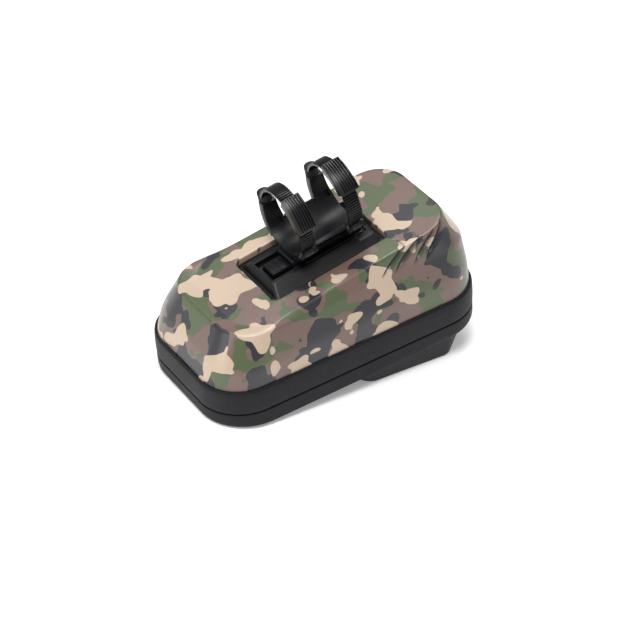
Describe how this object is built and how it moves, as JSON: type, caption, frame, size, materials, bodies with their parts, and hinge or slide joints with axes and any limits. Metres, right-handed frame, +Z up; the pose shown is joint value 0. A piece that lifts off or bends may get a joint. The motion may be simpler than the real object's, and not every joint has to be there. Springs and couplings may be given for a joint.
{
  "type": "handlebar bag with clamp mount",
  "caption": "Hard-shell handlebar bag: camouflage-printed moulded shell, zipped black lid with a raised bulge, and a slide-off plate with ring clamps on top.",
  "frame": {"origin": "bottom centre of the bag's box as it rests on its lid", "axes": "+X along the bag to its back, taller end; +Z up from the surface it rests on; +Y to the side with the lid's fabric hinge"},
  "size_m": [0.2464, 0.1312, 0.1732],
  "materials": {
    "printed_shell": "satin camouflage-printed film on moulded EVA",
    "black_fabric": "coated woven polyester over moulded EVA",
    "lining": "brushed tricot lining",
    "zip_tape": "coated woven tape",
    "zip_coil": "nylon coil",
    "black_plastic": "moulded nylon, fine grain",
    "rubber": "soft moulded rubber",
    "steel": "zinc-plated",
    "black_steel": "blackened",
    "mesh": "open knit mesh"
  },
  "bodies": {
    "case": {"shell": "printed_shell", "shell_lining": "lining", "side_band": "black_fabric", "edge_piping": "black_fabric", "upper_zip_tape": "zip_tape", "upper_zip_coil": "zip_coil", "hinge_fabric": "black_fabric", "zip_end_stops": "black_steel", "socket_plate": "black_plastic", "plate_gasket": "rubber", "backing_plate": "black_plastic", "plate_screws": "steel"},
    "lid": {"lid": "black_fabric", "lid_lining": "lining", "lower_zip_tape": "zip_tape", "lower_zip_coil": "zip_coil", "hinge_fabric_lower": "black_fabric", "mesh_pocket": "mesh", "pocket_elastic": "zip_tape"},
    "zip_slider": {"zip_slider": "black_steel"},
    "zip_pull": {"zip_pull": "rubber"},
    "latch_tab": {"latch_tab": "black_plastic"},
    "clamp_carrier": {"clamp_carrier": "black_plastic", "front_strap_pin": "steel", "rear_strap_pin": "steel", "front_nut": "steel", "rear_nut": "steel"},
    "front_strap": {"front_strap": "black_plastic"},
    "front_grip": {"front_grip": "black_plastic"},
    "front_set_screw": {"front_set_screw": "black_steel"},
    "rear_strap": {"rear_strap": "black_plastic"},
    "rear_grip": {"rear_grip": "black_plastic"},
    "rear_set_screw": {"rear_set_screw": "black_steel"}
  },
  "joints": [
    {"name": "lid_hinge", "type": "hinge", "parent": "case", "child": "lid", "pos_m": [-0.00149, 0.065, 0.02481], "axis": [0.9947, 0, 0.1028], "range_deg": [0, 100]},
    {"name": "zip_slide", "type": "slide", "parent": "case", "child": "zip_slider", "axis": [0, -1, 0], "range_m": [0, 0.044]},
    {"name": "zip_pull_swing", "type": "hinge", "parent": "zip_slider", "child": "zip_pull", "pos_m": [0.12161, 0.0214, 0.03753], "axis": [-0.1028, 0, 0.9947], "range_deg": [0, 170]},
    {"name": "latch_press", "type": "hinge", "parent": "case", "child": "latch_tab", "pos_m": [-0.02975, -0.0006, 0.09139], "axis": [0, -1, 0], "range_deg": [0, 7], "stiffness_Nm_per_rad": 1.3},
    {"name": "carrier_slide", "type": "slide", "parent": "case", "child": "clamp_carrier", "axis": [-0.9713, 0, -0.2377], "range_m": [0, 0.014]},
    {"name": "front_strap_open", "type": "hinge", "parent": "clamp_carrier", "child": "front_strap", "pos_m": [-0.02577, -0.02297, 0.11092], "axis": [0.9713, 0, 0.2377], "range_deg": [0, 90]},
    {"name": "front_grip_slide", "type": "hinge", "parent": "front_strap", "child": "front_grip", "pos_m": [-0.03024, -0.0006, 0.12915], "axis": [-0.9713, 0, -0.2377], "range_deg": [-35, 60]},
    {"name": "front_screw_turn", "type": "hinge", "parent": "clamp_carrier", "child": "front_set_screw", "pos_m": [-0.03066, 0.03, 0.1309], "axis": [-0.2377, 0, 0.9713], "continuous": true},
    {"name": "rear_strap_open", "type": "hinge", "parent": "clamp_carrier", "child": "rear_strap", "pos_m": [0.01551, -0.02297, 0.12102], "axis": [0.9713, 0, 0.2377], "range_deg": [0, 90]},
    {"name": "rear_grip_slide", "type": "hinge", "parent": "rear_strap", "child": "rear_grip", "pos_m": [0.01105, -0.0006, 0.13926], "axis": [-0.9713, 0, -0.2377], "range_deg": [-50, 45]},
    {"name": "rear_screw_turn", "type": "hinge", "parent": "clamp_carrier", "child": "rear_set_screw", "pos_m": [0.01062, 0.03, 0.141], "axis": [-0.2377, 0, 0.9713], "continuous": true}
  ]
}
